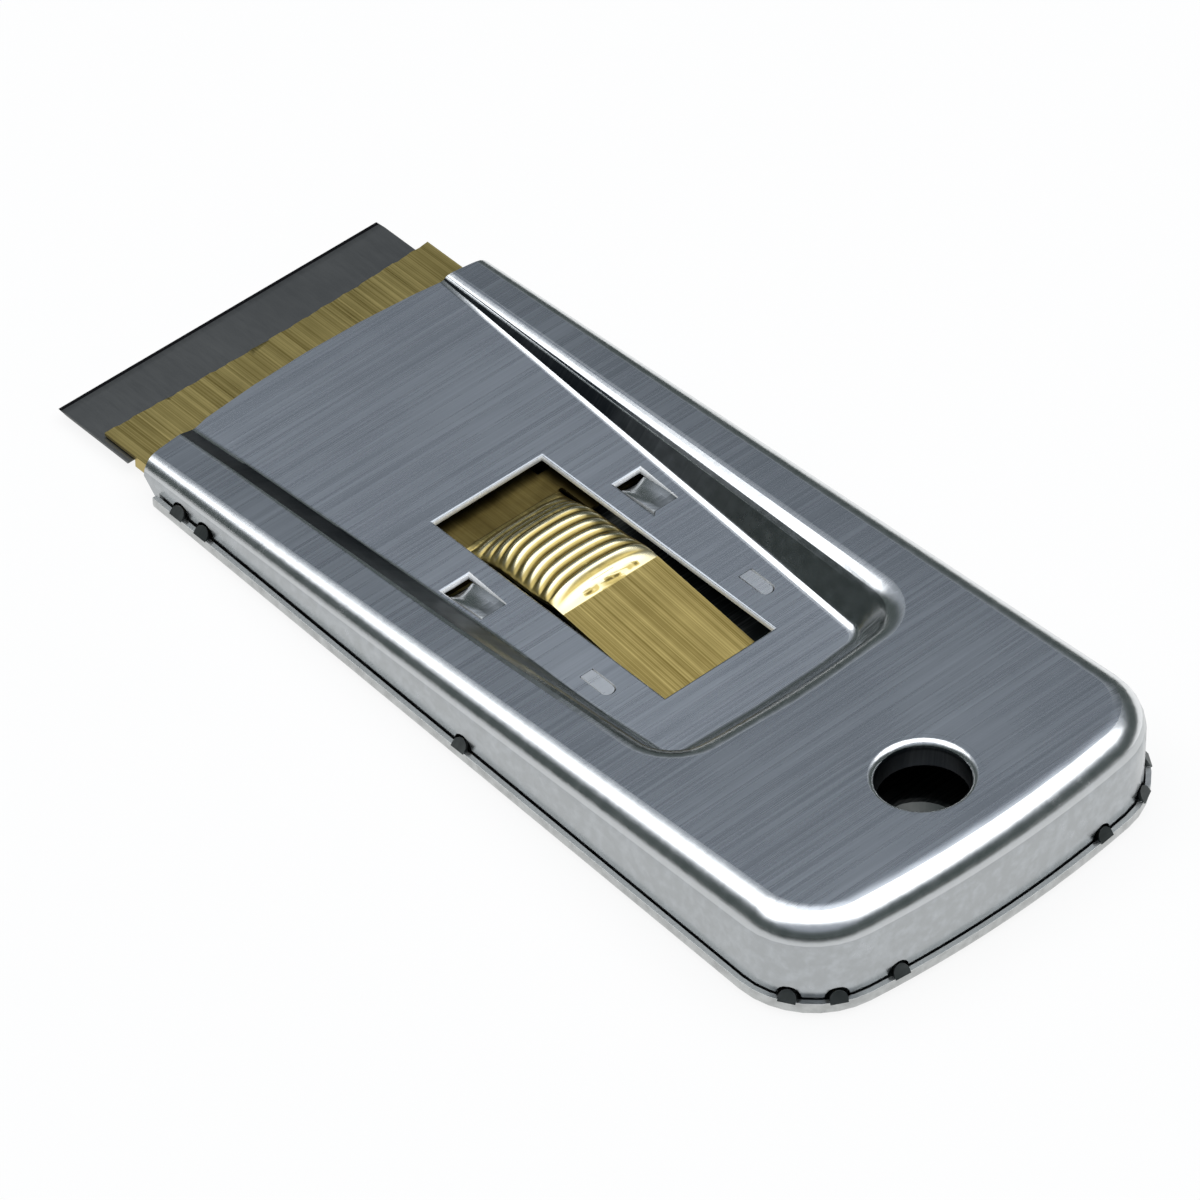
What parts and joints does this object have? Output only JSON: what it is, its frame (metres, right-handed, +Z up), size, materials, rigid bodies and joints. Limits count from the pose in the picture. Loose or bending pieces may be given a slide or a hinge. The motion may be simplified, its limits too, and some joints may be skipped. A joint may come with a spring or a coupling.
{
  "type": "glass scraper",
  "caption": "Pocket glass scraper: wedge-shaped sheet-steel case with a sunk panel and hanging hole, holding a razor blade on a brass carrier that slides out of its open front.",
  "frame": {"origin": "middle of the case's length on the flat underside of the tray", "axes": "+Y towards the cutting edge, +Z up out of the sunk panel, +X to the right seen from behind"},
  "size_m": [0.0456, 0.1032, 0.0101],
  "materials": {
    "brushed_case_steel": "brushed across the width, bright rolled edges",
    "tray_steel": "satin",
    "spring_brass": "lengthwise grain, tarnished",
    "blade_steel": "dark matte, honed edge",
    "spine_steel": "satin"
  },
  "bodies": {
    "case": {"top_cover": "brushed_case_steel", "bottom_tray": "tray_steel"},
    "carriage": {"blade_carrier": "spring_brass", "razor_blade": "blade_steel", "blade_spine": "spine_steel"}
  },
  "joints": [
    {"name": "blade_slide", "type": "slide", "parent": "case", "child": "carriage", "axis": [0, 0.9999, -0.0161], "range_m": [-0.0134, 0.0023]}
  ]
}
